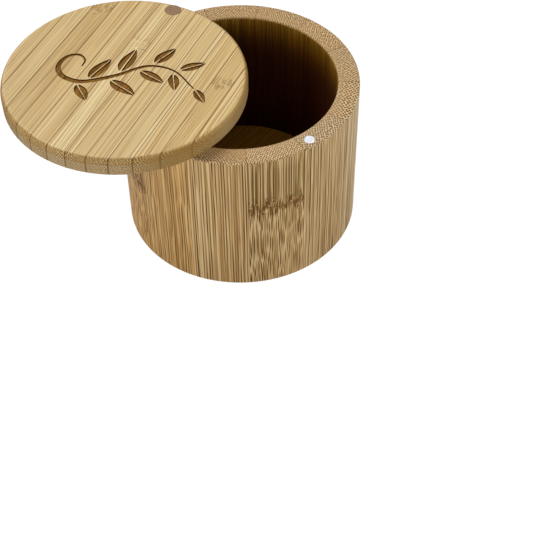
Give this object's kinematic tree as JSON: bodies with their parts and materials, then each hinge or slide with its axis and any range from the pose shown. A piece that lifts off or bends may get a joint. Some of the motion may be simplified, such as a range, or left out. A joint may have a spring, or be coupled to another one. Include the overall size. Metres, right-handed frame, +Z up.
{
  "type": "salt box",
  "caption": "Round bamboo salt box: a coopered tub with a flat lid that swivels on an upright screw in the rim and is held shut by a magnet pair.",
  "frame": {"origin": "centre of the tub's flat underside", "axes": "+Z up out of the tub's mouth, +Y towards the lid's pivot screw, the rim magnet on -Y"},
  "size_m": [0.1243, 0.1098, 0.0698],
  "materials": {
    "stave_bamboo": "satin",
    "floor_bamboo": "satin",
    "lid_bamboo": "satin",
    "plug_wood": "satin",
    "screw_steel": "satin",
    "washer_nylon": "satin",
    "magnet_nickel": "polished"
  },
  "bodies": {
    "box": {"stave_01": "stave_bamboo", "stave_02": "stave_bamboo", "stave_03": "stave_bamboo", "stave_04": "stave_bamboo", "stave_05": "stave_bamboo", "stave_06": "stave_bamboo", "stave_07": "stave_bamboo", "stave_08": "stave_bamboo", "stave_09": "stave_bamboo", "stave_10": "stave_bamboo", "stave_11": "stave_bamboo", "stave_12": "stave_bamboo", "stave_13": "stave_bamboo", "floor_strip_01": "floor_bamboo", "floor_strip_02": "floor_bamboo", "floor_strip_03": "floor_bamboo", "floor_strip_04": "floor_bamboo", "floor_strip_05": "floor_bamboo", "floor_strip_06": "floor_bamboo", "floor_strip_07": "floor_bamboo", "floor_strip_08": "floor_bamboo", "floor_strip_09": "floor_bamboo", "floor_strip_10": "floor_bamboo", "rim_magnet": "magnet_nickel", "pivot_screw": "screw_steel", "pivot_washer": "washer_nylon"},
    "lid": {"lid_strip_01": "lid_bamboo", "lid_strip_02": "lid_bamboo", "lid_strip_03": "lid_bamboo", "lid_strip_04": "lid_bamboo", "lid_strip_05": "lid_bamboo", "lid_strip_06": "lid_bamboo", "lid_strip_07": "lid_bamboo", "lid_strip_08": "lid_bamboo", "lid_strip_09": "lid_bamboo", "lid_strip_10": "lid_bamboo", "lid_strip_11": "lid_bamboo", "lid_strip_12": "lid_bamboo", "pivot_plug": "plug_wood", "lid_magnet": "magnet_nickel"}
  },
  "joints": [
    {"name": "lid_swivel", "type": "hinge", "parent": "box", "child": "lid", "pos_m": [0, 0.0404, 0.0626], "axis": [0, 0, 1], "continuous": true}
  ]
}
